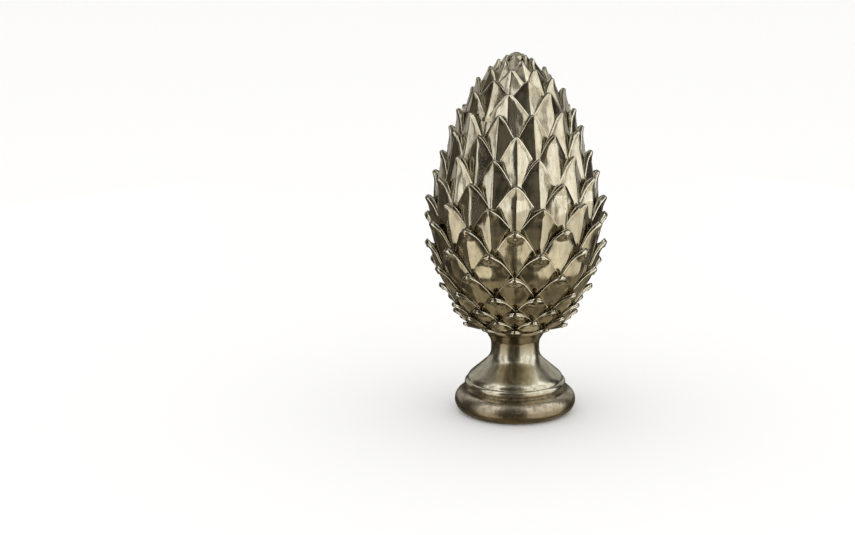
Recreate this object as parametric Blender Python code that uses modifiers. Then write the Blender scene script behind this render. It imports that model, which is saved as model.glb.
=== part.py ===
"""Artichoke ornament: one casting, a head of overlapping leaves on a turned foot.

Metres, +Z up. The origin is the centre of the flat underside, and the front leaves face -Y.
"""
import math

import bmesh
import bpy
import numpy as np
from mathutils import Vector

# Egg-shaped body that carries the leaves: radius and height up its side, and how it is sampled
BODY_OUTLINE = (
    (0.0000, 0.0985),
    (0.0330, 0.0990),
    (0.0480, 0.1015),
    (0.0568, 0.1075),
    (0.0696, 0.1286),
    (0.0785, 0.1447),
    (0.0899, 0.1694),
    (0.0957, 0.2100),
    (0.0935, 0.2433),
    (0.0775, 0.2926),
    (0.0586, 0.3374),
    (0.0385, 0.3700),
    (0.0192, 0.3880),
    (0.0088, 0.3942),
    (0.0000, 0.3962),
)
BODY_STEPS = 40
SIDE_SAMPLES = 800
SLOPE_REACH = 0.0015

# Leaf rows, bottom to top: height of the tips, leaves in the row, turn of one leaf from the front
LEAF_ROWS = (
    (0.1028, 11, 0.0),
    (0.1140, 11, 16.4),
    (0.1255, 11, 0.0),
    (0.1425, 11, 16.4),
    (0.1685, 11, 0.0),
    (0.1940, 11, 16.4),
    (0.2195, 11, 0.0),
    (0.2443, 11, 16.4),
    (0.2685, 11, 0.0),
    (0.2946, 11, 16.4),
    (0.3185, 11, 0.0),
    (0.3400, 11, 16.4),
    (0.3609, 7, -8.7),
    (0.3736, 7, 17.0),
    (0.3845, 7, -8.7),
    (0.3933, 7, 17.0),
    (0.3980, 5, -5.0),
)

# Columns round the head, where the lowest leaves spring, and how far down and how round a leaf's arch runs
COLUMNS = 88
FIRST_ROW_ROOT = 0.0370
FIRST_ROW_SIDE = 0.0450
SHORT_RISE = 0.0140
ARCH_REACH = 1.12
LOW_ARCH_REACH = 1.15
ARCH_POWER = 1.4
LOW_ARCH_POWER = 1.75
KEEL_POWER = 0.75

# How far the leaves stand off the body, the gaps between their edges, and the bud on top
TIP_LIFT = 0.0060
LOW_TIP_CURL = 0.0012
LOW_ROWS = 7
MID_LIFT = 0.0026
EDGE_LIFT = 0.0006
CREVICE_DEPTH = -0.0022
EDGE_STEP = 0.0005
ROW_GAP = 0.0016
BUD_RADIUS = 0.0055
BUD_SHOULDER_Z = 0.3985
BUD_TOP_Z = 0.4000

# Turned foot: underside, round torus, groove, lip, bell, neck, collar
UNDERSIDE_RADIUS = 0.0592
TORUS_RING_RADIUS = 0.0552
TORUS_RADIUS = 0.0124
GROOVE = (0.0528, 0.0254)
LIP_RING_RADIUS = 0.0525
LIP_Z = 0.0322
LIP_RADIUS = 0.0040
BELL_POINTS = ((0.0511, 0.0412), (0.0405, 0.0505), (0.0311, 0.0592))
NECK_POINTS = ((0.0275, 0.0656), (0.0268, 0.0745), (0.0277, 0.0814), (0.0304, 0.0862))
COLLAR_RING_RADIUS = 0.0322
COLLAR_Z = 0.0942
COLLAR_RADIUS = 0.0032
COLLAR_WALL_RADIUS = 0.0332
FOOT_TOP_Z = 0.1012
FOOT_STEPS = 32
WELD_DISTANCE = 0.00005
CREASE_ANGLE = 30.0

# Aged brass, as the whole casting shows it
BRASS_COLOUR = (0.60, 0.54, 0.40, 1.0)
BRASS_METALLIC = 0.95
BRASS_ROUGHNESS = 0.28


def clear_objects():
    """Remove whatever objects the scene holds."""
    for item in list(bpy.data.objects):
        bpy.data.objects.remove(item, do_unlink=True)


def new_collection(name):
    """Make a collection in the scene."""
    group = bpy.data.collections.new(name)
    bpy.context.scene.collection.children.link(group)
    return group


def brass_material():
    """Principled material of the casting."""
    material = bpy.data.materials.new("aged_brass")
    material.use_nodes = True
    shader = material.node_tree.nodes["Principled BSDF"]
    shader.inputs["Base Color"].default_value = BRASS_COLOUR
    shader.inputs["Metallic"].default_value = BRASS_METALLIC
    shader.inputs["Roughness"].default_value = BRASS_ROUGHNESS
    return material


def smooth_curve(points, steps):
    """Curve through the points, steps to each stretch, as an array (Catmull-Rom)."""
    knots = np.array(points)
    knots = np.vstack([2 * knots[0] - knots[1], knots, 2 * knots[-1] - knots[-2]])
    share = np.linspace(0.0, 1.0, steps, endpoint=False)[:, None]
    stretches = []
    for before, start, end, after in zip(knots, knots[1:], knots[2:], knots[3:]):
        slope_in = 0.5 * (end - before)
        slope_out = 0.5 * (after - start)
        bend = 3 * (end - start) - 2 * slope_in - slope_out
        twist = 2 * (start - end) + slope_in + slope_out
        stretches.append(start + slope_in * share + bend * share ** 2 + twist * share ** 3)
    return np.vstack(stretches + [knots[-2:-1]])


def body_profile():
    """Body's side from its bottom pole to its top: arc length, radius and height arrays."""
    radius, height = smooth_curve(BODY_OUTLINE, BODY_STEPS).T
    arc = np.concatenate([[0.0], np.cumsum(np.hypot(np.diff(radius), np.diff(height)))])
    return arc, radius, height


def body_points(profile, station, lift):
    """Radius and height of points that stand off the body's side by lift."""
    arc, radius, height = profile
    above, below = station + SLOPE_REACH, station - SLOPE_REACH
    step_r = np.interp(above, arc, radius) - np.interp(below, arc, radius)
    step_z = np.interp(above, arc, height) - np.interp(below, arc, height)
    length = np.hypot(step_r, step_z)
    point_r = np.interp(station, arc, radius) + lift * step_z / length
    point_z = np.interp(station, arc, height) - lift * step_r / length
    return point_r, point_z


def tip_station(profile, tip_height, lift):
    """Distance up the body's side at which a tip with this lift reaches the tip height."""
    stations = np.linspace(0.0, profile[0][-1], SIDE_SAMPLES)
    return np.interp(tip_height, body_points(profile, stations, lift)[1], stations)


def column_angles():
    """Angles of the columns round the axis, the last one closing on the first, from the front."""
    return np.linspace(0.0, 2 * math.pi, COLUMNS + 1)


def edge_share(leaves, front_turn):
    """Per column: 0 on a leaf's centre line, 1 where two leaves of the row meet."""
    turns = (column_angles() - math.radians(front_turn)) * leaves / (2 * math.pi)
    return 2.0 * np.abs(turns - np.round(turns))


def head_rings():
    """Rings of the head from its bottom pole to its top, each a radius and a height array."""
    profile = body_profile()
    ones = np.ones(COLUMNS + 1)
    rings = [(0.0 * ones, BODY_OUTLINE[0][1] * ones)]
    below = (FIRST_ROW_ROOT * ones, 0.0 * ones)
    rings.append(body_points(profile, *below))
    last_tip = FIRST_ROW_SIDE
    for row, (tip_height, leaves, front_turn) in enumerate(LEAF_ROWS):
        share = edge_share(leaves, front_turn)
        crest = (1.0 - share) ** KEEL_POWER
        lift = TIP_LIFT + LOW_TIP_CURL * max(0.0, 1.0 - row / LOW_ROWS)
        tip = tip_station(profile, tip_height, EDGE_LIFT + lift)
        low = row < LOW_ROWS
        reach = (LOW_ARCH_REACH if low else ARCH_REACH) * (tip - last_tip)
        arch = tip - share ** (LOW_ARCH_POWER if low else ARCH_POWER) * reach
        edge = np.maximum(arch, below[0] + ROW_GAP)
        middle = 0.5 * (below[0] + edge)
        middle_lift = 0.5 * (below[1] + EDGE_LIFT) + crest * MID_LIFT
        crevice = edge + EDGE_STEP
        if tip - last_tip > SHORT_RISE:
            rings.append(body_points(profile, middle, middle_lift))
        rings.append(body_points(profile, edge, EDGE_LIFT + crest * lift))
        rings.append(body_points(profile, crevice, CREVICE_DEPTH * ones))
        below = (crevice, CREVICE_DEPTH * ones)
        last_tip = tip
    rings.append((BUD_RADIUS * ones, BUD_SHOULDER_Z * ones))
    rings.append((0.0 * ones, BUD_TOP_Z * ones))
    return rings


def build_head(group, material):
    """Head: a sheet wrapped round the axis through the rings, seam and poles welded."""
    rings = head_rings()
    angles = column_angles()
    shape = bmesh.new()
    bmesh.ops.create_grid(shape, x_segments=COLUMNS, y_segments=len(rings) - 1, size=0.5)
    for vertex in shape.verts:
        column = round((vertex.co.x + 0.5) * COLUMNS)
        level = round((vertex.co.y + 0.5) * (len(rings) - 1))
        radius = rings[level][0][column]
        angle = angles[column] if column < COLUMNS else 0.0
        height = rings[level][1][column]
        vertex.co = Vector((radius * math.sin(angle), -radius * math.cos(angle), height))
    bmesh.ops.remove_doubles(shape, verts=shape.verts, dist=WELD_DISTANCE)
    bmesh.ops.triangulate(shape, faces=shape.faces, quad_method="SHORT_EDGE")
    bmesh.ops.recalc_face_normals(shape, faces=shape.faces)
    mesh = bpy.data.meshes.new("artichoke_ornament")
    shape.to_mesh(mesh)
    shape.free()
    mesh.shade_smooth()
    mesh.set_sharp_from_angle(angle=math.radians(CREASE_ANGLE))
    mesh.materials.append(material)
    head = bpy.data.objects.new("artichoke_ornament", mesh)
    group.objects.link(head)
    return head


def arc_points(centre_r, centre_z, radius, start, end, count):
    """Points of an arc in the profile's plane, angles in degrees from outwards."""
    points = []
    for index in range(count):
        angle = math.radians(start + (end - start) * index / (count - 1))
        points.append((centre_r + radius * math.cos(angle), centre_z + radius * math.sin(angle)))
    return points


def foot_profile():
    """Foot's outline from the centre of the underside up to the centre of its top."""
    outline = [(0.0, 0.0), (UNDERSIDE_RADIUS, 0.0)]
    outline += arc_points(TORUS_RING_RADIUS, TORUS_RADIUS, TORUS_RADIUS, -55, 100, 7)
    outline.append(GROOVE)
    outline += arc_points(LIP_RING_RADIUS, LIP_Z, LIP_RADIUS, -50, 70, 3)
    outline += BELL_POINTS
    outline += NECK_POINTS
    outline += arc_points(COLLAR_RING_RADIUS, COLLAR_Z, COLLAR_RADIUS, -60, 60, 3)
    outline += [(COLLAR_WALL_RADIUS, FOOT_TOP_Z), (0.0, FOOT_TOP_Z)]
    return outline


def build_foot(group):
    """Foot: the outline turned round the axis."""
    outline = foot_profile()
    mesh = bpy.data.meshes.new("foot_profile")
    points = [(radius, 0.0, height) for radius, height in reversed(outline)]
    mesh.from_pydata(points, [(i, i + 1) for i in range(len(points) - 1)], [])
    foot = bpy.data.objects.new("foot_profile", mesh)
    group.objects.link(foot)
    turning = foot.modifiers.new("turning", "SCREW")
    turning.axis = "Z"
    turning.steps = FOOT_STEPS
    turning.render_steps = FOOT_STEPS
    turning.use_merge_vertices = True
    turning.merge_threshold = WELD_DISTANCE
    foot.hide_render = True
    foot.display_type = "WIRE"
    return foot


def join_foot(head, foot):
    """Fuse head and foot into one casting."""
    fusing = head.modifiers.new("fused_foot", "BOOLEAN")
    fusing.operation = "UNION"
    fusing.object = foot


def main():
    """Build the ornament."""
    clear_objects()
    ornament = new_collection("artichoke_ornament")
    guides = new_collection("turned_guides")
    head = build_head(ornament, brass_material())
    foot = build_foot(guides)
    join_foot(head, foot)


main()
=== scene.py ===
"""Looks of the artichoke ornament: one brass casting, a head of overlapping leaves on a turned foot.

Metres, +Z up. The head's leaves are lofts on an egg-shaped body, repeated in rows by Geometry Nodes.
"""

import math

import bmesh
import bpy
import numpy as np
from mathutils import Matrix, Vector


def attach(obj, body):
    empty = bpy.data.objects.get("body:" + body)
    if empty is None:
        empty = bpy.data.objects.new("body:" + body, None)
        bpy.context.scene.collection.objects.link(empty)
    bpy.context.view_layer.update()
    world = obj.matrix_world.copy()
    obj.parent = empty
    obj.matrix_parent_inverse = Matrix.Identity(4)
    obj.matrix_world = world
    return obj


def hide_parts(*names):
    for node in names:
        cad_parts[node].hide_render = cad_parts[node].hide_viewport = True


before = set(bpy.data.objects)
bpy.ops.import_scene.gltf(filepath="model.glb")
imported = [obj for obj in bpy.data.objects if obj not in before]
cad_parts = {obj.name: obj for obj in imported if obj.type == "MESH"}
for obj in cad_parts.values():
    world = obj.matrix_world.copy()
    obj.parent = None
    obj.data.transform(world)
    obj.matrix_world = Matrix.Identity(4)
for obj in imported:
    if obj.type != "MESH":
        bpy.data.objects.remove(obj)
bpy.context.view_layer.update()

# Egg-shaped body that carries the leaves: radius and height up its side, and how finely it is followed
BODY_OUTLINE = (
    (0.0000, 0.0985),
    (0.0330, 0.0990),
    (0.0480, 0.1015),
    (0.0568, 0.1075),
    (0.0680, 0.1286),
    (0.0760, 0.1447),
    (0.0870, 0.1694),
    (0.0927, 0.2100),
    (0.0908, 0.2433),
    (0.0760, 0.2926),
    (0.0586, 0.3374),
    (0.0385, 0.3700),
    (0.0192, 0.3880),
    (0.0088, 0.3942),
    (0.0000, 0.3962),
)
BODY_STEPS = 40
SIDE_SAMPLES = 800
SLOPE_REACH = 0.0015

# Core under the leaves, seen only in the gaps between them
CORE_DEPTH = -0.0070
CORE_TOP_GAP = 0.0035
CORE_FLOOR_DROP = 0.0010
CORE_PEAK_RISE = 0.0002
CORE_RINGS = 60
CORE_SEGMENTS = 72

# Leaf rows, bottom to top: height of the tips, leaves in the row, degrees of one leaf from the front
LEAF_ROWS = (
    (0.1028, 11, 0.0),
    (0.1140, 11, 16.4),
    (0.1255, 11, 0.0),
    (0.1425, 11, 16.4),
    (0.1685, 11, 0.0),
    (0.1940, 11, 16.4),
    (0.2195, 11, 0.0),
    (0.2443, 11, 16.4),
    (0.2685, 11, 0.0),
    (0.2946, 11, 16.4),
    (0.3185, 11, 0.0),
    (0.3400, 11, 16.4),
    (0.3609, 7, -8.7),
    (0.3736, 7, 17.0),
    (0.3845, 7, -8.7),
    (0.3933, 7, 17.0),
    (0.3980, 5, -5.0),
)

# Distances up the body's side: tips of an imagined row below the first, the lowest root of any leaf,
# and how far a root goes down past the tips two rows below
FIRST_ROW_SIDE = 0.0450
LOWEST_ROOT = 0.0370
ROOT_DEPTH = 0.0040

# Small differences between the leaves of a row, drawn from a fixed seed for each row
TURN_PLAY = math.radians(0.9)
TILT_PLAY = math.radians(1.3)
SIZE_PLAY = 0.015
LEAF_CENTRE_LIFT = 0.003
FIRST_SEED = 11
SEED_STEP = 7

# Character of the leaves up the head, each value at the heights of LEAF_HEIGHTS: metres, degrees and shares
LEAF_HEIGHTS = (0.1028, 0.1425, 0.1940, 0.2195, 0.2443, 0.2946, 0.3609, 0.3980)
LEAF_CHARACTER = {
    "tip_lift": (0.0080, 0.0098, 0.0102, 0.0102, 0.0098, 0.0086, 0.0068, 0.0044),
    "tip_curl": (0.0042, 0.0060, 0.0064, 0.0060, 0.0050, 0.0034, 0.0020, 0.0010),
    "curl_reach": (0.0075, 0.0105, 0.0135, 0.0135, 0.0125, 0.0120, 0.0100, 0.0060),
    "side_lift": (0.0020, 0.0022, 0.0020, 0.0012, 0.0006, 0.0002, -0.0002, -0.0004),
    "root_lift": (-0.0010, -0.0016, -0.0020, -0.0026, -0.0032, -0.0034, -0.0030, -0.0022),
    "arch_reach": (1.12, 1.05, 1.06, 1.28, 1.12, 1.10, 1.04, 1.04),
    "arch_power": (0.58, 0.58, 0.57, 0.56, 0.68, 0.72, 0.66, 0.60),
    "tip_round": (0.0012, 0.0012, 0.0012, 0.0010, 0.0008, 0.0008, 0.0010, 0.0012),
    "tip_thickness": (0.0028, 0.0040, 0.0046, 0.0044, 0.0036, 0.0032, 0.0028, 0.0022),
    "wedge_thickness": (0.0024, 0.0034, 0.0040, 0.0048, 0.0075, 0.0080, 0.0070, 0.0050),
    "side_thickness": (0.0014, 0.0018, 0.0020, 0.0022, 0.0026, 0.0026, 0.0022, 0.0016),
    "facet_angle": (7.0, 9.0, 11.0, 15.0, 19.0, 20.0, 18.0, 16.0),
    "facet_flatness": (0.20, 0.30, 0.40, 0.60, 0.85, 0.90, 0.90, 0.85),
    "keel_rounding": (0.0024, 0.0030, 0.0030, 0.0022, 0.0014, 0.0012, 0.0014, 0.0014),
    "bead_height": (0.0008, 0.0013, 0.0014, 0.0012, 0.0000, 0.0000, 0.0000, 0.0000),
}

# Small bead under the tip, on the rows where it is tall enough to show
BEAD_PLACE = 0.0044
BEAD_RADIUS = 0.0015
BEAD_TALLEST = 0.0014
BEAD_LEAST = 0.0001

# Thickness towards the tip, rounded corners and nose, rolled rim, and the hollow behind the tip
WEDGE_REACH = 0.0045
WEDGE_POWER = 1.3
CORNER_RADIUS = 0.0009
CORNER_OF_WIDTH = 0.4
CORNER_OF_THICKNESS = 0.3
CORNER_DROP = 0.134
NOSE_RADIUS = 0.0026
NOSE_OF_THICKNESS = 0.55
BACK_OF_NOSE = 0.4
TIP_STEEPNESS = 0.75
KEEL_LEAST_WIDTH = 0.002
AXIS_LEAST_RADIUS = 0.001
EDGE_HOLLOW = 0.0003
HOLLOW_OF_WIDTH = 0.2
EDGE_ROLL = 0.0004
ROLL_WIDTH = 0.0040
BACK_SLOPE = 0.8
BACK_DEPTH = 0.0090

# Where a leaf is cut into sections: distances from the tip, shares of the step down to the next row,
# and shares across from the ridge to the rim
NOSE_CUTS = (0.0, 0.0002, 0.0007, 0.0015, 0.0026, 0.0042)
BEAD_CUTS = (0.0, 0.0002, 0.0007, 0.0015, 0.0023, 0.0030, 0.0037, 0.0044, 0.0051, 0.0058, 0.0066)
BLADE_CUTS = (0.26, 0.38, 0.52, 0.68, 0.84, 1.0, 1.22, 1.50, 1.85, 2.20)
FRONT_CUTS = (0.0, 0.05, 0.14, 0.36, 0.62, 0.85, 1.0)
NOSE_OF_STEP = 0.6
CUT_GAP = 0.0008
ROOT_GAP = 0.0003

# Bud on top, among the last leaves
BUD_RADIUS = 0.0086
BUD_SHOULDER_Z = 0.3920
BUD_TOP_Z = 0.4000
BUD_SKIRT = 0.006
BUD_TURN = 0.49 * math.pi
BUD_STEPS = 9
BUD_SEGMENTS = 32

# Turned foot: underside, round torus, groove, lip, bell, neck, collar. An arc is its first and last angle
# in degrees from outwards, and its number of points.
UNDERSIDE_RADIUS = 0.0592
UNDERSIDE_BEVEL = 0.001
TORUS_RING_RADIUS = 0.0552
TORUS_RADIUS = 0.0124
TORUS_ARC = (-70, 100, 28)
GROOVE_RADIUS = 0.0528
GROOVE_Z = 0.0254
GROOVE_WIDTH = 0.004
GROOVE_DROPS = (0.0006, 0.0002)
LIP_SINK = 0.002
LIP_INSET = 0.0008
LIP_RING_RADIUS = 0.0525
LIP_Z = 0.0322
LIP_RADIUS = 0.0040
LIP_ARC = (-62, 72, 12)
BELL_POINTS = ((0.0511, 0.0412), (0.0405, 0.0505), (0.0311, 0.0592))
NECK_POINTS = ((0.0275, 0.0656), (0.0268, 0.0745), (0.0277, 0.0814), (0.0304, 0.0862))
COLLAR_RING_RADIUS = 0.0322
COLLAR_Z = 0.0942
COLLAR_RADIUS = 0.0032
COLLAR_ARC = (-75, 75, 12)
COLLAR_WALL_RADIUS = 0.0332
FOOT_TOP_Z = 0.1012
FOOT_SEGMENTS = 144
SWEEP_STEPS = 6

# Closing of meshes: the small flat where a turned outline meets the axis, and what counts as one point
AXIS_RADIUS = 0.0005
WELD_DISTANCE = 0.00002
SLIVER_DISTANCE = 0.00001

# Finishes of the brass: colours are linear, sizes in metres, heights from the underside
LEAF_LOOK = {
    "on_leaves": True,
    "bright_colour": (0.645, 0.612, 0.505, 1.0),
    # Painted highlight: light colour along the leaves' rims and on the tops of their beads
    "painted_highlight_colour": (0.82, 0.78, 0.65, 1.0),
    "dull_colour": (0.42, 0.365, 0.245, 1.0),
    # Stain colour of the tarnish specks, also used for painted shade: clouds, the line inside the rim, round
    # the bead, and the shadow on the turned parts
    "stain_and_shade_colour": (0.24, 0.19, 0.11, 1.0),
    # Painted dark reflection: leaves browner and darker low on the head, standing in for a dark floor seen in
    # the metal
    "low_reflection_colour": (0.48, 0.405, 0.26, 1.0),
    # Dark colour of patina in creases and pits, also painted shade in creases and on the leaves' hidden edge
    # walls
    "dark_patina_and_shade_colour": (0.105, 0.082, 0.048, 1.0),
    "low_reflection_between": (0.115, 0.250),
    "roughness": 0.135,
    "dull_roughness": 0.15,
    "streaks": {"Size": 0.0055, "Start": 0.38, "End": 0.66, "Upright": 0.16},
    "streak_amount": 0.50,
    "patch_size": 0.016,
    "patch_amount": 0.55,
    "specks": {"Size": 0.004, "Start": 0.60, "End": 0.70},
    "speck_amount": 0.42,
    # Patina and painted shade: dark clouds towards the sides of a leaf near its tip
    "rim_patina_and_shade": 0.62,
    "crease_reach": 0.0028,
    "crease_amount": 0.72,
    "surface": {"Wave Depth": 0.00110, "Line Depth": 0.00004, "Pit Depth": 0.00006},
}
TURNED_LOOK = {
    **LEAF_LOOK,
    "on_leaves": False,
    "bright_colour": (0.61, 0.585, 0.49, 1.0),
    "roughness": 0.20,
    "shadow_between": (0.068, 0.084),
    "patch_size": 0.020,
    "patch_amount": 0.40,
    "speck_amount": 0.35,
    "surface": {"Wave Size": 0.016, "Wave Depth": 0.00022, "Line Depth": 0.00001, "Pit Depth": 0.00006},
}
RING_LOOK = {
    **TURNED_LOOK,
    "bright_colour": (0.58, 0.52, 0.42, 1.0),
    "dull_colour": (0.31, 0.265, 0.20, 1.0),
    "shadow_between": (0.026, 0.006),
    "roughness": 0.27,
    "patch_size": 0.009,
    "patch_amount": 0.75,
    "surface": {"Wave Size": 0.008, "Wave Depth": 0.00022, "Line Depth": 0.00001, "Pit Depth": 0.00012},
}
# Painted shade: near-black brass on the core, which shows only in the gaps between the leaves
CORE_SHADE_LOOK = {
    **TURNED_LOOK,
    "bright_colour": (0.10, 0.078, 0.045, 1.0),
    "dull_colour": (0.05, 0.04, 0.024, 1.0),
    "roughness": 0.50,
}

# Effects that the finishes share: borders of masks, grain, and how strongly they tell
CREVICE_RAGGED = 0.4
CREVICE_CLOSED = (0.36, 0.95)
UPRIGHT_STRETCH = (2.2, 2.2, 0.35)
UPRIGHT_SHARE = 0.35
LINE_STRETCH = (1.0, 1.0, 0.10)
PIT_BETWEEN = (0.66, 0.80)
PIT_DARKNESS = 0.7
PITTED_AREA = 0.02
PITTED_BETWEEN = (0.45, 0.60)
TARNISH_RAGGED = 0.62
SHADOW_AMOUNT = 0.9
SPECK_ROUGHNESS = 0.12
CREASE_ROUGHNESS = 0.30
CREASE_METAL = 0.55

# Zones of a leaf's finish, its painted highlights and its painted shade: across it from the ridge at 0 to the
# rim at 1, down it from the tip at 0 to the next row's tips at 1, and leaf_place's third value on the bead
# and in the edge
TONE_AMOUNT = 0.28
LOW_REFLECTION_AMOUNT = 0.75
CLOUD_SIZE = 0.008
CLOUD_STRETCH = (1.0, 1.0, 0.5)
CLOUD_BETWEEN = (0.40, 0.62)
CLOUD_ACROSS = (0.30, 0.90)
CLOUD_DOWN = (1.5, 0.5)
# Painted shade: a dark line just inside the rim, standing in for the dark band in a rounded edge's reflection
SHADE_LINE_START = (0.86, 0.90)
SHADE_LINE_END = (0.955, 0.92)
SHADE_LINE_AMOUNT = 0.55
# Painted highlight along the rim near the tip; RIM_DOWN also limits the painted dark line inside the rim
RIM_HIGHLIGHT_ACROSS = (0.955, 0.995)
RIM_DOWN = (1.4, 0.9)
# Painted shade round the foot of the bead
BEAD_SHADE_FOOT = (-0.04, -0.15)
BEAD_PAINTED_SHADE = 0.8
# Painted highlight on the top of the bead
BEAD_HIGHLIGHT_TOP = (-0.30, -0.55)
# Painted shade on each leaf's edge wall and back, between the leaves
EDGE_HIDDEN = (0.15, 0.75)
EDGE_PAINTED_SHADE = 0.80

# Camera: place in metres, turns in degrees, lens in millimetres
CAMERA_PLACE = (0.0, -1.7925, 0.5791)
CAMERA_YAW = 3.11
CAMERA_PITCH = -13.08
CAMERA_ROLL = -0.45
CAMERA_LENS = 70.0
SENSOR_WIDTH = 36.0

# Floor, and soft lights: first and last azimuth in degrees from the front, two heights, brightness and tint
FLOOR_SIZE = 60.0
FLOOR_COLOUR = (0.92, 0.915, 0.905, 1.0)
FLOOR_ROUGHNESS = 0.8
SOFTBOX_DISTANCE = 1.5
SOFTBOX_POWER = 4.0
SOFTBOX_TINT = (1.0, 0.99, 0.96)
LOW_TINT = (1.0, 0.95, 0.84)
SOFTBOXES = {
    "left_softbox": (-56.0, -36.0, 0.0, 2.6, 1.05, SOFTBOX_TINT),
    "far_left_softbox": (-78.0, -62.0, 0.0, 2.6, 0.80, SOFTBOX_TINT),
    "right_softbox": (24.0, 46.0, 0.0, 2.6, 1.05, SOFTBOX_TINT),
    "middle_right_softbox": (50.0, 74.0, 0.0, 2.6, 1.05, SOFTBOX_TINT),
    "far_right_softbox": (78.0, 104.0, 0.0, 2.6, 1.0, SOFTBOX_TINT),
    "left_floor_glow": (-76.0, -36.0, -1.6, 0.0, 0.70, LOW_TINT),
    "right_floor_glow": (24.0, 104.0, -1.6, 0.0, 0.70, LOW_TINT),
    "back_right_softbox": (128.0, 164.0, 0.0, 2.2, 0.30, SOFTBOX_TINT),
    "back_left_softbox": (204.0, 240.0, 0.0, 2.2, 0.30, SOFTBOX_TINT),
}

# Room that the metal mirrors: colours low down, level and overhead, where they change, and their mottling
ROOM_LOW = (0.20, 0.175, 0.125, 1.0)
ROOM_LEVEL = (0.070, 0.063, 0.049, 1.0)
ROOM_OVERHEAD = (0.31, 0.305, 0.28, 1.0)
LOW_BETWEEN = (-0.75, -0.40)
OVERHEAD_BETWEEN = (0.45, 0.95)
MOTTLE_SCALE = 3.2
MOTTLE_BETWEEN = (0.38, 0.62)
MOTTLE_LEVELS = (0.40, 2.0)
WHITE = (1.0, 1.0, 1.0, 1.0)
BACKDROP_STRENGTH = 1.15


def smooth_curve(points, steps):
    """Curve through the points, steps to each stretch, as an array (Catmull-Rom)."""
    knots = np.array(points)
    knots = np.vstack([2 * knots[0] - knots[1], knots, 2 * knots[-1] - knots[-2]])
    share = np.linspace(0.0, 1.0, steps, endpoint=False)[:, None]
    stretches = []
    for before, start, end, after in zip(knots, knots[1:], knots[2:], knots[3:]):
        slope_in = 0.5 * (end - before)
        slope_out = 0.5 * (after - start)
        bend = 3 * (end - start) - 2 * slope_in - slope_out
        twist = 2 * (start - end) + slope_in + slope_out
        stretches.append(start + slope_in * share + bend * share ** 2 + twist * share ** 3)
    return np.vstack(stretches + [knots[-2:-1]])


def body_profile():
    """Body's side from its bottom pole to its top: arc length, radius and height arrays."""
    radius, height = smooth_curve(BODY_OUTLINE, BODY_STEPS).T
    arc = np.concatenate([[0.0], np.cumsum(np.hypot(np.diff(radius), np.diff(height)))])
    return arc, radius, height


def body_points(profile, station, lift):
    """Radius and height of points that stand off the body's side by lift."""
    arc, radius, height = profile
    above, below = station + SLOPE_REACH, station - SLOPE_REACH
    step_r = np.interp(above, arc, radius) - np.interp(below, arc, radius)
    step_z = np.interp(above, arc, height) - np.interp(below, arc, height)
    length = np.hypot(step_r, step_z)
    point_r = np.interp(station, arc, radius) + lift * step_z / length
    point_z = np.interp(station, arc, height) - lift * step_r / length
    return point_r, point_z


def tip_station(profile, tip_height, lift):
    """Distance up the body's side at which a tip with this lift reaches the tip height."""
    stations = np.linspace(0.0, profile[0][-1], SIDE_SAMPLES)
    return np.interp(tip_height, body_points(profile, stations, lift)[1], stations)


def leaf_character(tip_height):
    """Values of LEAF_CHARACTER for a leaf whose tip is at this height."""
    character = {}
    for name, values in LEAF_CHARACTER.items():
        character[name] = float(np.interp(tip_height, LEAF_HEIGHTS, values))
    return character


def turned_point(radius, height, angle):
    """Points at a radius and height, turned round the axis from the front towards +X."""
    return np.stack([radius * np.sin(angle), -radius * np.cos(angle), height], axis=-1)


def rounding_drop(distance, radius):
    """How far a rounded end has dropped at this distance from the end."""
    share = np.clip(1.0 - distance / radius, 0.0, 1.0)
    return radius * (1.0 - np.sqrt(1.0 - share ** 2))


def keel_lift(down, distance, leaf):
    """Lift of a leaf's centre line: down is 0 at the tip, 1 at the next row's tips, 2 at the row's below."""
    flat_tip = leaf["tip_lift"] - leaf["tip_curl"]
    bend = 0.5 * (leaf["root_lift"] - 2 * leaf["side_lift"] + flat_tip)
    slope = leaf["side_lift"] - flat_tip - bend
    curl = leaf["tip_curl"] * np.clip(1.0 - distance / leaf["curl_reach"], 0.0, None) ** 2
    down = np.minimum(down, 2.0)
    return flat_tip + slope * down + bend * down ** 2 + curl


def leaf_cuts(step, length, leaf):
    """Distances from the tip at which a leaf is cut into sections."""
    cuts = BEAD_CUTS if leaf["bead_height"] > BEAD_LEAST else NOSE_CUTS
    nose = [cut for cut in cuts if cut < NOSE_OF_STEP * step]
    nearest, farthest = nose[-1] + CUT_GAP, length - ROOT_GAP
    blade = [cut * step for cut in BLADE_CUTS if nearest < cut * step < farthest]
    return np.array(nose + blade + [length])


def leaf_thickness(down, distance, leaf):
    """Thickness of a leaf's edge, full at the tip and thin at the side."""
    fullness = np.clip(1.0 - down, 0.0, 1.0) ** 2
    wedge = leaf["side_thickness"] + (leaf["wedge_thickness"] - leaf["side_thickness"]) * fullness
    near_tip = np.clip(1.0 - distance / WEDGE_REACH, 0.0, 1.0) ** WEDGE_POWER
    return wedge + (leaf["tip_thickness"] - wedge) * near_tip


def leaf_half_width(down, distance, centre_r, half_angle, leaf):
    """Half the width of a leaf's arch, rounded at its apex."""
    arch = half_angle * centre_r * np.minimum(down / leaf["arch_reach"], 1.0) ** leaf["arch_power"]
    round_apex = 2 * leaf["tip_round"] * distance * np.exp(-distance / (2 * leaf["tip_round"]))
    return np.sqrt(arch ** 2 + round_apex)


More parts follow.
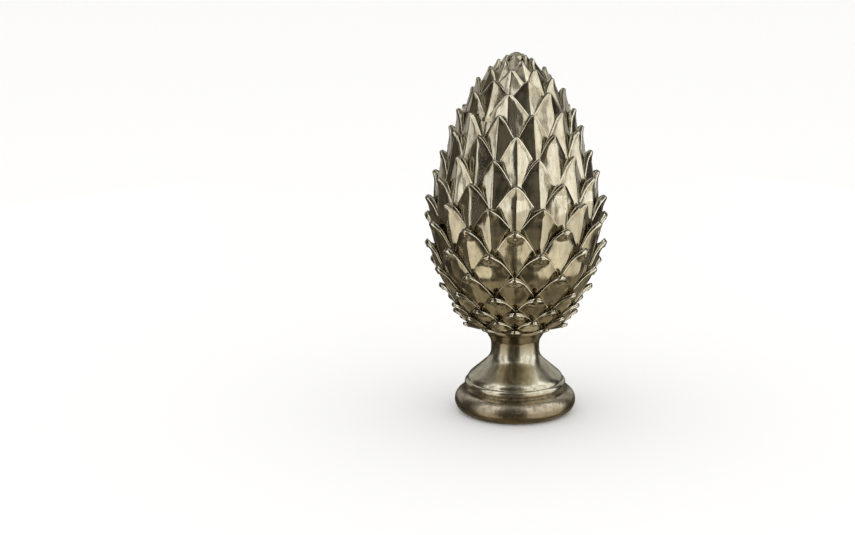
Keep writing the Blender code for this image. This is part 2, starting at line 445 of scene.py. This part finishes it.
def leaf_rings(profile, tip, step, root, half_angle, leaf):
    """Closed sections of one leaf that stands at the front, and each point's place on the leaf."""
    distance = leaf_cuts(step, tip - root, leaf)
    down = distance / step
    centre_r, centre_z = body_points(profile, tip - distance, keel_lift(down, distance, leaf))
    along_r, along_z = np.gradient(centre_r, distance), np.gradient(centre_z, distance)
    size = np.hypot(along_r, along_z)
    normal_r, normal_z = -along_z / size, along_r / size

    half_width = leaf_half_width(down, distance, centre_r, half_angle, leaf)
    thickness = leaf_thickness(down, distance, leaf)
    corner = np.minimum(CORNER_OF_WIDTH * half_width, CORNER_OF_THICKNESS * thickness)
    corner = np.minimum(CORNER_RADIUS, corner)
    bulge = centre_r * (1.0 - np.cos(half_width / centre_r))
    steepness = np.clip(TIP_STEEPNESS + (1 - TIP_STEEPNESS) * down, 0, 1)
    crown = np.tan(math.radians(leaf["facet_angle"])) * half_width * steepness
    nose_radius = min(NOSE_RADIUS, NOSE_OF_THICKNESS * leaf["tip_thickness"])
    nose_drop = rounding_drop(distance, nose_radius)
    back_rise = rounding_drop(distance, BACK_OF_NOSE * nose_radius)
    bead = leaf["bead_height"] * np.exp(-(((distance - BEAD_PLACE) / BEAD_RADIUS) ** 2))

    def bead_share(across):
        """How much of the bead's height is left at a share across the leaf."""
        return np.exp(-((across * half_width / BEAD_RADIUS) ** 2))

    def front(across):
        """Height of the front over the centre line, at a share across the leaf."""
        crease = leaf["keel_rounding"] / np.maximum(half_width, KEEL_LEAST_WIDTH)
        ridge = (np.sqrt(across ** 2 + crease ** 2) - crease) / (np.sqrt(1 + crease ** 2) - crease)
        flat = leaf["facet_flatness"]
        shape = flat * ridge + (1 - flat) * across ** 2
        drop = (crown - bulge) * shape + flat * bulge * np.abs(across) * (1 - np.abs(across))
        from_edge = (1 - np.abs(across)) * half_width
        roll = EDGE_ROLL * np.clip(1 - from_edge / ROLL_WIDTH, 0.0, 1.0) ** 2
        return bead * bead_share(across) - drop - nose_drop - roll

    columns, places = [], []

    def add(across_width, rise, across, hidden):
        """Add one point to every section, at a distance across and a rise over the centre line."""
        angle = across_width / np.maximum(centre_r, AXIS_LEAST_RADIUS)
        columns.append(turned_point(centre_r + normal_r * rise, centre_z + normal_z * rise, angle))
        places.append(np.stack([across + 0.0 * down, down, hidden + 0.0 * down], axis=-1))

    edge = front(1.0)
    foot_of_edge = edge - thickness + back_rise
    hollow = np.minimum(EDGE_HOLLOW, HOLLOW_OF_WIDTH * half_width)
    for across in [-share for share in reversed(FRONT_CUTS[1:])] + list(FRONT_CUTS):
        on_bead = bead / BEAD_TALLEST * bead_share(across)
        add(across * (half_width - corner), front(across), across, -on_bead)
    rim = [
        (half_width - 0.5 * corner, edge - CORNER_DROP * corner, 0.0),
        (half_width - CORNER_DROP * corner, edge - 0.5 * corner, 0.0),
        (half_width, edge - corner, 0.3),
        (half_width - hollow, 0.5 * (edge + foot_of_edge), 1.0),
        (half_width, foot_of_edge + 0.5 * corner, 0.1),
        (half_width - 0.5 * corner, foot_of_edge, 0.2),
    ]
    for width, rise, hidden in rim:
        add(width, rise, 1.0, hidden)
    spine = np.minimum(thickness + BACK_SLOPE * distance, BACK_DEPTH)
    add(0.0 * down, front(0.0) - np.maximum(spine, thickness) + back_rise, 0.0, 1.0)
    for width, rise, hidden in reversed(rim):
        add(-width, rise, -1.0, hidden)
    return np.stack(columns, axis=1), np.stack(places, axis=1)


def skinned(name, rings, places=None):
    """Closed mesh over rings of points. With places it is a leaf, which closes at its tip by itself."""
    shape = bmesh.new()
    rows = [[shape.verts.new(Vector(point)) for point in ring] for ring in rings]
    around = rings.shape[1]
    for upper, lower in zip(rows, rows[1:]):
        for column in range(around):
            beside = (column + 1) % around
            shape.faces.new((upper[column], upper[beside], lower[beside], lower[column]))
    if places is None:
        shape.faces.new(list(reversed(rows[0])))
    shape.faces.new(rows[-1])
    if places is not None:
        mark_places(shape, places)
    bmesh.ops.remove_doubles(shape, verts=shape.verts, dist=WELD_DISTANCE)
    bmesh.ops.dissolve_degenerate(shape, edges=shape.edges, dist=SLIVER_DISTANCE)
    bmesh.ops.recalc_face_normals(shape, faces=shape.faces)
    mesh = bpy.data.meshes.new(name)
    shape.to_mesh(mesh)
    shape.free()
    mesh.shade_smooth()
    return mesh


def mark_places(shape, places):
    """Keep each point's place on a leaf as leaf_place: across, down, and 1 in its edge or -1 on its bead."""
    layer = shape.verts.layers.float_vector.new("leaf_place")
    for vert, place in zip(shape.verts, places.reshape(-1, 3)):
        vert[layer] = Vector(place)


def linked(name, data):
    """Object of a mesh, lamp or camera, in the scene."""
    made = bpy.data.objects.new(name, data)
    bpy.context.scene.collection.objects.link(made)
    return made


def placed(tree, kind, inputs=None, **settings):
    """Node of a kind, with its settings made and its inputs set or linked."""
    node = tree.nodes.new(kind)
    for name, value in settings.items():
        setattr(node, name, value)
    for key, value in (inputs or {}).items():
        if isinstance(value, bpy.types.NodeSocket):
            tree.links.new(value, node.inputs[key])
        else:
            node.inputs[key].default_value = value
    return node


def maths(tree, operation, first, second=0.0, clamp=False):
    """Result of a Math node over two sockets or values."""
    inputs = {0: first, 1: second}
    return placed(tree, "ShaderNodeMath", inputs, operation=operation, use_clamp=clamp).outputs[0]


def random_around(tree, seed, middle, play, offset):
    """Random value within play of the middle, one for each leaf."""
    inputs = {
        2: maths(tree, "SUBTRACT", middle, play),
        3: maths(tree, "ADD", middle, play),
        "Seed": maths(tree, "ADD", seed, offset),
    }
    return placed(tree, "FunctionNodeRandomValue", inputs, data_type="FLOAT").outputs[1]


def whorl_tree():
    """Geometry Nodes: one leaf repeated round the axis, each copy turned, tilted and sized a little apart."""
    tree = bpy.data.node_groups.new("leaf_whorl", "GeometryNodeTree")
    face = tree.interface
    face.new_socket("Geometry", in_out="INPUT", socket_type="NodeSocketGeometry")
    wanted = {
        "Leaf": "NodeSocketObject",
        "Leaves": "NodeSocketInt",
        "First Turn": "NodeSocketFloat",
        "Turn Play": "NodeSocketFloat",
        "Tilt Play": "NodeSocketFloat",
        "Size Play": "NodeSocketFloat",
        "Leaf Centre": "NodeSocketVector",
        "Seed": "NodeSocketInt",
        "Finish": "NodeSocketMaterial",
    }
    for name, kind in wanted.items():
        face.new_socket(name, in_out="INPUT", socket_type=kind)
    face.new_socket("Geometry", in_out="OUTPUT", socket_type="NodeSocketGeometry")
    given = placed(tree, "NodeGroupInput").outputs
    seed, centre = given["Seed"], given["Leaf Centre"]

    points = placed(tree, "GeometryNodePoints", {"Count": given["Leaves"]}).outputs[0]
    leaf = placed(tree, "GeometryNodeObjectInfo", {"Object": given["Leaf"]}).outputs["Geometry"]
    copies = placed(tree, "GeometryNodeInstanceOnPoints", {"Points": points, "Instance": leaf}).outputs[0]

    outwards = random_around(tree, seed, 0.0, given["Tilt Play"], 1)
    sideways = random_around(tree, seed, 0.0, given["Tilt Play"], 2)
    tilt = placed(tree, "ShaderNodeCombineXYZ", {"X": outwards, "Y": sideways}).outputs[0]
    inputs = {"Instances": copies, "Rotation": tilt, "Pivot Point": centre}
    tilted = placed(tree, "GeometryNodeRotateInstances", inputs).outputs[0]

    size = random_around(tree, seed, 1.0, given["Size Play"], 3)
    inputs = {"Instances": tilted, "Scale": size, "Center": centre}
    sized = placed(tree, "GeometryNodeScaleInstances", inputs).outputs[0]

    index = placed(tree, "GeometryNodeInputIndex").outputs[0]
    step = maths(tree, "DIVIDE", math.tau, given["Leaves"])
    turn = maths(tree, "ADD", given["First Turn"], maths(tree, "MULTIPLY", index, step))
    turn = maths(tree, "ADD", turn, random_around(tree, seed, 0.0, given["Turn Play"], 4))
    heading = placed(tree, "ShaderNodeCombineXYZ", {"Z": turn}).outputs[0]
    inputs = {"Instances": sized, "Rotation": heading, "Local Space": False}
    turned = placed(tree, "GeometryNodeRotateInstances", inputs).outputs[0]

    tone = random_around(tree, seed, 0.5, 0.5, 5)
    inputs = {"Geometry": turned, "Name": "leaf_tone", "Value": tone}
    settings = {"data_type": "FLOAT", "domain": "INSTANCE"}
    toned = placed(tree, "GeometryNodeStoreNamedAttribute", inputs, **settings).outputs[0]

    real = placed(tree, "GeometryNodeRealizeInstances", {0: toned}).outputs[0]
    inputs = {"Geometry": real, "Material": given["Finish"]}
    finished = placed(tree, "GeometryNodeSetMaterial", inputs).outputs[0]
    placed(tree, "NodeGroupOutput", {0: finished})
    return tree


def plain_copy(source, name):
    """Evaluated object as a plain mesh object, the source removed."""
    source.update_tag()
    bpy.context.view_layer.update()
    graph = bpy.context.evaluated_depsgraph_get()
    mesh = bpy.data.meshes.new_from_object(source.evaluated_get(graph), depsgraph=graph)
    made = linked(name, mesh)
    bpy.data.objects.remove(source, do_unlink=True)
    return made


def leaf_row(profile, tree, row, tip, step, root, finish):
    """One row of leaves round the head."""
    tip_height, leaves, front_turn = LEAF_ROWS[row]
    sections = leaf_rings(profile, tip, step, root, math.pi / leaves, leaf_character(tip_height))
    leaf = linked(f"leaf_{row}", skinned(f"leaf_{row}", *sections))
    holder = linked(f"row_{row}", bpy.data.meshes.new(f"row_{row}"))
    whorl = holder.modifiers.new("whorl", "NODES")
    whorl.node_group = tree
    middle_r, middle_z = body_points(profile, tip - 0.5 * step, LEAF_CENTRE_LIFT)
    values = {
        "Leaf": leaf,
        "Leaves": leaves,
        "First Turn": math.radians(front_turn),
        "Turn Play": TURN_PLAY,
        "Tilt Play": TILT_PLAY,
        "Size Play": SIZE_PLAY,
        "Leaf Centre": (0.0, -float(middle_r), float(middle_z)),
        "Seed": FIRST_SEED + SEED_STEP * row,
        "Finish": finish,
    }
    for item in tree.interface.items_tree:
        if item.in_out == "INPUT" and item.name in values:
            whorl[item.identifier] = values[item.name]
    made = plain_copy(holder, f"row_{row}_leaves")
    bpy.data.objects.remove(leaf, do_unlink=True)
    return made


def leaf_rows(finish):
    """All rows of leaves, bottom to top."""
    profile = body_profile()
    tree = whorl_tree()
    tips = []
    made = []
    for row, (tip_height, _, _) in enumerate(LEAF_ROWS):
        leaf = leaf_character(tip_height)
        tip = tip_station(profile, tip_height, leaf["tip_lift"])
        step = tip - (tips[-1] if tips else FIRST_ROW_SIDE)
        root = max(LOWEST_ROOT, (tips[-2] if row > 1 else 0.0) - ROOT_DEPTH)
        made.append(leaf_row(profile, tree, row, tip, step, root, finish))
        tips.append(tip)
    return made


def turned_object(name, outline, segments, finish):
    """Closed body turned from an outline that runs up from the axis and back to it."""
    radius, height = np.array(outline).T
    angles = np.linspace(0.0, math.tau, segments, endpoint=False)
    rings = np.stack([turned_point(r, np.full(segments, z), angles) for r, z in zip(radius, height)])
    mesh = skinned(name, rings)
    mesh.materials.append(finish)
    return linked(name, mesh)


def body_core(finish):
    """Egg under the leaves, which shows only in the gaps between them; its near-black finish is painted
    shade.
    """
    profile = body_profile()
    stations = np.linspace(LOWEST_ROOT, profile[0][-1] - CORE_TOP_GAP, CORE_RINGS)
    radius, height = body_points(profile, stations, CORE_DEPTH)
    outline = [(AXIS_RADIUS, height[0] - CORE_FLOOR_DROP)]
    outline += list(zip(radius, height))
    outline += [(AXIS_RADIUS, height[-1] + CORE_PEAK_RISE)]
    return turned_object("core", outline, CORE_SEGMENTS, finish)


def bud(finish):
    """Closed bud at the very top."""
    outline = [(BUD_RADIUS, BUD_SHOULDER_Z - BUD_SKIRT)]
    for angle in np.linspace(0.0, BUD_TURN, BUD_STEPS):
        height = BUD_SHOULDER_Z + (BUD_TOP_Z - BUD_SHOULDER_Z) * math.sin(angle)
        outline.append((BUD_RADIUS * math.cos(angle), height))
    return turned_object("bud", outline, BUD_SEGMENTS, finish)


def arc_points(centre_r, centre_z, radius, arc):
    """Points of an arc in the outline's plane: first angle, last angle and count."""
    start, end, count = arc
    points = []
    for index in range(count):
        angle = math.radians(start + (end - start) * index / (count - 1))
        points.append((centre_r + radius * math.cos(angle), centre_z + radius * math.sin(angle)))
    return points


def foot_ring(finish):
    """Round torus that the ornament stands on, up to the floor of the groove."""
    outline = [(AXIS_RADIUS, 0.0), (UNDERSIDE_RADIUS - UNDERSIDE_BEVEL, 0.0)]
    outline += arc_points(TORUS_RING_RADIUS, TORUS_RADIUS, TORUS_RADIUS, TORUS_ARC)
    outline += [
        (GROOVE_RADIUS, GROOVE_Z - GROOVE_DROPS[0]),
        (GROOVE_RADIUS - GROOVE_WIDTH, GROOVE_Z - GROOVE_DROPS[1]),
        (AXIS_RADIUS, GROOVE_Z),
    ]
    return turned_object("foot_ring", outline, FOOT_SEGMENTS, finish)


def foot_stem(finish):
    """Lip, bell, neck and collar, turned in one sweep."""
    base = GROOVE_Z - LIP_SINK
    outline = [(AXIS_RADIUS, base), (GROOVE_RADIUS - LIP_INSET, base), (GROOVE_RADIUS, GROOVE_Z)]
    outline += arc_points(LIP_RING_RADIUS, LIP_Z, LIP_RADIUS, LIP_ARC)
    sweep = [outline[-1]] + list(BELL_POINTS) + list(NECK_POINTS)
    outline += [tuple(point) for point in smooth_curve(sweep, SWEEP_STEPS)[1:]]
    outline += arc_points(COLLAR_RING_RADIUS, COLLAR_Z, COLLAR_RADIUS, COLLAR_ARC)
    outline += [(COLLAR_WALL_RADIUS, FOOT_TOP_Z), (AXIS_RADIUS, FOOT_TOP_Z)]
    return turned_object("foot_stem", outline, FOOT_SEGMENTS, finish)


def joined(name, parts):
    """One object from several."""
    with bpy.context.temp_override(active_object=parts[0], selected_editable_objects=parts):
        bpy.ops.object.join()
    parts[0].name = name
    parts[0].data.name = name
    return parts[0]


def eased(tree, value, low, high, start=0.0, end=1.0):
    """Value taken smoothly from start to end as it goes from low to high."""
    inputs = {"Value": value, "From Min": low, "From Max": high, "To Min": start, "To Max": end}
    return placed(tree, "ShaderNodeMapRange", inputs, interpolation_type="SMOOTHSTEP").outputs[0]


def mixed(tree, share, first, second, way="MIX"):
    """Two colours mixed by a share."""
    node = placed(tree, "ShaderNodeMix", {0: share, 6: first, 7: second}, data_type="RGBA", blend_type=way)
    return node.outputs[2]


def noise(tree, size, stretch=(1.0, 1.0, 1.0), detail=2.0, shift=0.0):
    """Noise on the object's coordinates, its grain of a size in metres."""
    place = placed(tree, "ShaderNodeTexCoord").outputs["Object"]
    inputs = {"Vector": place, "Location": (shift, shift, shift), "Scale": stretch}
    moved = placed(tree, "ShaderNodeMapping", inputs).outputs[0]
    inputs = {"Vector": moved, "Scale": maths(tree, "DIVIDE", 1.0, size), "Detail": detail}
    return placed(tree, "ShaderNodeTexNoise", inputs).outputs["Fac"]


def effect_group(name, inputs, outputs):
    """Empty shader node group with named float inputs and outputs."""
    tree = bpy.data.node_groups.new(name, "ShaderNodeTree")
    for socket, value in inputs.items():
        tree.interface.new_socket(socket, in_out="INPUT", socket_type="NodeSocketFloat").default_value = value
    for socket in outputs:
        tree.interface.new_socket(socket, in_out="OUTPUT", socket_type="NodeSocketFloat")
    given = tree.nodes.new("NodeGroupInput").outputs
    result = tree.nodes.new("NodeGroupOutput").inputs
    return tree, given, result


def crevice_group():
    """Mask of dark patina and painted shade in creases, where nearby surfaces close in, with a ragged border.
    """
    inputs = {"Reach": 0.006, "Ragged Size": 0.003, "Amount": 1.0}
    tree, given, result = effect_group("crevice_patina_and_shade", inputs, ["Mask"])
    nearby = placed(tree, "ShaderNodeAmbientOcclusion", {"Distance": given["Reach"]}, samples=8)
    closed = maths(tree, "SUBTRACT", 1.0, nearby.outputs["AO"])
    ragged = maths(tree, "SUBTRACT", noise(tree, given["Ragged Size"], detail=3.0), 0.5)
    ragged = maths(tree, "MULTIPLY", ragged, CREVICE_RAGGED)
    mask = eased(tree, maths(tree, "ADD", closed, ragged), *CREVICE_CLOSED)
    tree.links.new(maths(tree, "MULTIPLY", mask, given["Amount"], clamp=True), result["Mask"])
    return tree


def upright_waves(tree, given):
    """Upright waves, where the metal was drawn down the leaf."""
    waves = noise(tree, given["Wave Size"], stretch=UPRIGHT_STRETCH, detail=1.0, shift=0.5)
    return maths(tree, "MULTIPLY", waves, UPRIGHT_SHARE)


def casting_group():
    """Height of a hand-finished casting: slow waves, fine drawn lines and small pits."""
    inputs = {
        "Wave Size": 0.020,
        "Wave Depth": 0.0001,
        "Line Size": 0.0016,
        "Line Depth": 0.00001,
        "Pit Size": 0.0012,
        "Pit Depth": 0.0001,
    }
    tree, given, result = effect_group("casting_surface", inputs, ["Height", "Pits"])
    wave = maths(tree, "MULTIPLY", noise(tree, given["Wave Size"], detail=1.0), given["Wave Depth"])
    upright = maths(tree, "MULTIPLY", upright_waves(tree, given), given["Wave Depth"])
    wave = maths(tree, "ADD", wave, upright)
    line = noise(tree, given["Line Size"], stretch=LINE_STRETCH, shift=0.3)
    line = maths(tree, "MULTIPLY", line, given["Line Depth"])
    pits = eased(tree, noise(tree, given["Pit Size"], detail=1.0, shift=0.7), *PIT_BETWEEN)
    sparse = eased(tree, noise(tree, PITTED_AREA, detail=1.0, shift=1.1), *PITTED_BETWEEN)
    pits = maths(tree, "MULTIPLY", pits, sparse)
    sunk = maths(tree, "MULTIPLY", pits, given["Pit Depth"])
    height = maths(tree, "SUBTRACT", maths(tree, "ADD", wave, line), sunk)
    tree.links.new(height, result["Height"])
    tree.links.new(pits, result["Pits"])
    return tree


def stain_group():
    """Mask of tarnish in soft patches that break up at their borders."""
    inputs = {"Size": 0.012, "Start": 0.48, "End": 0.66, "Upright": 0.5}
    tree, given, result = effect_group("tarnish", inputs, ["Mask"])
    place = placed(tree, "ShaderNodeTexCoord").outputs["Object"]
    scale = placed(tree, "ShaderNodeCombineXYZ", {"X": 1.0, "Y": 1.0, "Z": given["Upright"]}).outputs[0]
    stretched = placed(tree, "ShaderNodeVectorMath", {0: place, 1: scale}, operation="MULTIPLY").outputs[0]
    grain = maths(tree, "DIVIDE", 1.0, given["Size"])
    inputs = {"Vector": stretched, "Scale": grain, "Detail": 5.0, "Roughness": TARNISH_RAGGED}
    patches = placed(tree, "ShaderNodeTexNoise", inputs).outputs["Fac"]
    tree.links.new(eased(tree, patches, given["Start"], given["End"]), result["Mask"])
    return tree


def object_height(tree):
    """Height on the object of the point that is shaded."""
    where = placed(tree, "ShaderNodeTexCoord").outputs["Object"]
    return placed(tree, "ShaderNodeSeparateXYZ", {0: where}).outputs[2]


def leaf_patina_and_shade(tree, colour, look, across, down):
    """Clouds of patina and painted shade towards the sides of a leaf near its tip, and a painted dark line
    inside its rim.
    """
    # Patina and painted shade in clouds towards the sides, near the tip
    cloudy = noise(tree, CLOUD_SIZE, stretch=CLOUD_STRETCH, detail=3.0, shift=0.9)
    cloudy = eased(tree, cloudy, *CLOUD_BETWEEN)
    clouds = maths(tree, "MULTIPLY", eased(tree, across, *CLOUD_ACROSS), eased(tree, down, *CLOUD_DOWN))
    clouds = maths(tree, "MULTIPLY", maths(tree, "MULTIPLY", clouds, cloudy), look["rim_patina_and_shade"])
    colour = mixed(tree, clouds, colour, look["stain_and_shade_colour"])
    # Painted shade: dark line just inside the rim
    line = maths(tree, "MULTIPLY", eased(tree, across, *SHADE_LINE_START), eased(tree, across, *SHADE_LINE_END))
    line = maths(tree, "MULTIPLY", line, eased(tree, down, *RIM_DOWN, 0.0, SHADE_LINE_AMOUNT))
    return mixed(tree, line, colour, look["stain_and_shade_colour"])


def leaf_shade(tree, colour, look):
    """Colour of a leaf: its own tone, patina and painted shade on its sides, painted highlights on the rim
    and bead, painted shade round the bead and on the edge.
    """
    place = placed(tree, "ShaderNodeAttribute", attribute_name="leaf_place").outputs["Vector"]
    side, down, hidden = placed(tree, "ShaderNodeSeparateXYZ", {0: place}).outputs
    across = maths(tree, "ABSOLUTE", side)
    tone = placed(tree, "ShaderNodeAttribute", attribute_name="leaf_tone").outputs["Fac"]
    colour = mixed(tree, eased(tree, tone, 0.0, 1.0, 0.0, TONE_AMOUNT), colour, look["dull_colour"])
    colour = leaf_patina_and_shade(tree, colour, look, across, down)
    # Painted highlight along the rim
    rim = maths(tree, "MULTIPLY", eased(tree, across, *RIM_HIGHLIGHT_ACROSS), eased(tree, down, *RIM_DOWN))
    colour = mixed(tree, rim, colour, look["painted_highlight_colour"])
    # Painted shade round the bead, standing in for the dark band under a curled tip
    shade_around_bead = maths(tree, "MULTIPLY", eased(tree, hidden, *BEAD_SHADE_FOOT), BEAD_PAINTED_SHADE)
    colour = mixed(tree, shade_around_bead, colour, look["stain_and_shade_colour"])
    # Painted highlight on the top of the bead
    colour = mixed(tree, eased(tree, hidden, *BEAD_HIGHLIGHT_TOP), colour, look["painted_highlight_colour"])
    # Painted shade on the leaf's edge wall and back
    return mixed(tree, eased(tree, hidden, *EDGE_HIDDEN, 0.0, EDGE_PAINTED_SHADE), colour, look["dark_patina_and_shade_colour"])


def tarnished(tree, look, stains):
    """Colour under the tarnish, with a painted dark reflection low on the leaves, how far it is dulled, and
    how far it is spotted.
    """
    patches = placed(tree, "ShaderNodeGroup", {"Size": look["patch_size"]}, node_tree=stains)
    streaks = placed(tree, "ShaderNodeGroup", look["streaks"], node_tree=stains)
    specks = placed(tree, "ShaderNodeGroup", look["specks"], node_tree=stains)
    dulled = maths(tree, "MULTIPLY", patches.outputs[0], look["patch_amount"])
    streaked = maths(tree, "MULTIPLY", streaks.outputs[0], look["streak_amount"])
    spotted = maths(tree, "MULTIPLY", specks.outputs[0], look["speck_amount"])
    colour = look["bright_colour"]
    if look["on_leaves"]:
        # Painted dark reflection, browner towards the bottom of the head
        low = eased(tree, object_height(tree), *look["low_reflection_between"], LOW_REFLECTION_AMOUNT, 0.0)
        colour = mixed(tree, low, colour, look["low_reflection_colour"])
    colour = mixed(tree, dulled, colour, look["dull_colour"])
    colour = mixed(tree, streaked, colour, look["dull_colour"])
    colour = mixed(tree, spotted, colour, look["stain_and_shade_colour"])
    return colour, dulled, spotted


def aged_brass(name, look, groups):
    """Brass of one finish: polished metal under tarnish and pits, creases darkened by patina and painted
    shade, painted highlights and shade on the leaves, and painted shadow on the turned parts.
    """
    material = bpy.data.materials.new(name)
    material.use_nodes = True
    tree = material.node_tree
    shader = tree.nodes["Principled BSDF"]
    crevices, casting, stains = groups
    inputs = {"Reach": look["crease_reach"], "Amount": look["crease_amount"]}
    crease = placed(tree, "ShaderNodeGroup", inputs, node_tree=crevices)
    surface = placed(tree, "ShaderNodeGroup", look["surface"], node_tree=casting)

    colour, dulled, spotted = tarnished(tree, look, stains)
    if look["on_leaves"]:
        colour = leaf_shade(tree, colour, look)
    else:
        shadow = eased(tree, object_height(tree), *look["shadow_between"], 0.0, SHADOW_AMOUNT)
        colour = mixed(tree, shadow, colour, look["stain_and_shade_colour"])
    pitted = maths(tree, "MULTIPLY", surface.outputs["Pits"], PIT_DARKNESS)
    colour = mixed(tree, pitted, colour, look["dark_patina_and_shade_colour"])
    # Patina and painted shade in creases, from ambient occlusion
    colour = mixed(tree, crease.outputs[0], colour, look["dark_patina_and_shade_colour"])
    tree.links.new(colour, shader.inputs["Base Color"])

    rough = maths(tree, "MULTIPLY", dulled, look["dull_roughness"])
    rough = maths(tree, "ADD", look["roughness"], rough)
    rough = maths(tree, "ADD", rough, maths(tree, "MULTIPLY", spotted, SPECK_ROUGHNESS))
    rough = maths(tree, "ADD", rough, maths(tree, "MULTIPLY", crease.outputs[0], CREASE_ROUGHNESS))
    tree.links.new(rough, shader.inputs["Roughness"])
    metal = eased(tree, crease.outputs[0], 0.0, 1.0, 1.0, CREASE_METAL)
    tree.links.new(metal, shader.inputs["Metallic"])
    inputs = {"Strength": 1.0, "Distance": 1.0, "Height": surface.outputs["Height"]}
    bump = placed(tree, "ShaderNodeBump", inputs)
    tree.links.new(bump.outputs[0], shader.inputs["Normal"])
    return material


def softbox(name, start, end, bottom, top, brightness, tint):
    """Rectangular soft light between two azimuths in degrees from the front and two heights."""
    width = 2 * SOFTBOX_DISTANCE * math.tan(math.radians(0.5 * (end - start)))
    light = bpy.data.lights.new(name, "AREA")
    light.shape = "RECTANGLE"
    light.size, light.size_y = width, top - bottom
    light.energy = SOFTBOX_POWER * light.size * light.size_y * brightness
    light.color = tint
    lamp = linked(name, light)
    angle = math.radians(0.5 * (start + end))
    height = 0.5 * (bottom + top)
    lamp.location = (SOFTBOX_DISTANCE * math.sin(angle), -SOFTBOX_DISTANCE * math.cos(angle), height)
    aim = Vector((0.0, 0.0, height)) - lamp.location
    lamp.rotation_euler = aim.to_track_quat("-Z", "Y").to_euler()
    lamp.visible_camera = False
    lamp.visible_diffuse = False


def mirrored_room(tree):
    """Dim room that the metal mirrors, browner low down and brighter overhead."""
    direction = placed(tree, "ShaderNodeTexCoord").outputs["Generated"]
    rise = placed(tree, "ShaderNodeSeparateXYZ", {0: direction}).outputs[2]
    room = mixed(tree, eased(tree, rise, *LOW_BETWEEN), ROOM_LOW, ROOM_LEVEL)
    room = mixed(tree, eased(tree, rise, *OVERHEAD_BETWEEN), room, ROOM_OVERHEAD)
    inputs = {"Vector": direction, "Scale": MOTTLE_SCALE}
    mottle = placed(tree, "ShaderNodeTexNoise", inputs).outputs["Fac"]
    return mixed(tree, 1.0, room, eased(tree, mottle, *MOTTLE_BETWEEN, *MOTTLE_LEVELS), "MULTIPLY")


def backdrop():
    """White backdrop, which the metal sees as a room."""
    world = bpy.data.worlds.new("white_backdrop")
    world.use_nodes = True
    tree = world.node_tree
    around = tree.nodes["Background"]
    tree.links.new(mirrored_room(tree), around.inputs["Color"])
    seen = placed(tree, "ShaderNodeBackground", {"Color": WHITE, "Strength": BACKDROP_STRENGTH})
    path = placed(tree, "ShaderNodeLightPath").outputs
    plain = maths(tree, "MAXIMUM", path["Is Camera Ray"], path["Is Diffuse Ray"])
    mix = placed(tree, "ShaderNodeMixShader", {0: plain, 1: around.outputs[0], 2: seen.outputs[0]})
    tree.links.new(mix.outputs[0], tree.nodes["World Output"].inputs["Surface"])
    world.cycles.sampling_method = "NONE"
    bpy.context.scene.world = world


def pale_floor():
    """Plain pale floor, left out of the metal's reflections."""
    bpy.ops.mesh.primitive_plane_add(size=FLOOR_SIZE)
    floor = bpy.context.object
    floor.name = "floor"
    paint = bpy.data.materials.new("pale_floor")
    paint.use_nodes = True
    shader = paint.node_tree.nodes["Principled BSDF"]
    shader.inputs["Roughness"].default_value = FLOOR_ROUGHNESS
    shader.inputs["Base Color"].default_value = FLOOR_COLOUR
    floor.data.materials.append(paint)
    floor.visible_glossy = False


def camera():
    """Camera at the photo's place and lens."""
    lens = bpy.data.cameras.new("camera")
    lens.lens = CAMERA_LENS
    lens.sensor_width = SENSOR_WIDTH
    made = linked("camera", lens)
    made.location = CAMERA_PLACE
    turn = Matrix.Rotation(math.radians(CAMERA_YAW), 3, "Z")
    turn = turn @ Matrix.Rotation(math.radians(90.0 + CAMERA_PITCH), 3, "X")
    turn = turn @ Matrix.Rotation(math.radians(CAMERA_ROLL), 3, "Z")
    made.rotation_euler = turn.to_euler()
    bpy.context.scene.camera = made


def studio():
    """Pale floor, white backdrop, soft lights and the camera."""
    bpy.context.scene.view_settings.view_transform = "Standard"
    backdrop()
    pale_floor()
    for name, values in SOFTBOXES.items():
        softbox(name, *values)
    camera()


def main():
    """Build the studio and the casting."""
    studio()
    groups = (crevice_group(), casting_group(), stain_group())
    leaf_brass = aged_brass("leaf_brass", LEAF_LOOK, groups)
    turned_brass = aged_brass("turned_brass", TURNED_LOOK, groups)
    ring_brass = aged_brass("ring_brass", RING_LOOK, groups)
    core_shade_finish = aged_brass("core_shade_brass", CORE_SHADE_LOOK, groups)
    parts = leaf_rows(leaf_brass)
    parts += [body_core(core_shade_finish), bud(leaf_brass), foot_ring(ring_brass), foot_stem(turned_brass)]
    casting = joined("cast_artichoke", parts)
    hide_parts("artichoke_ornament")
    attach(casting, "root")


main()
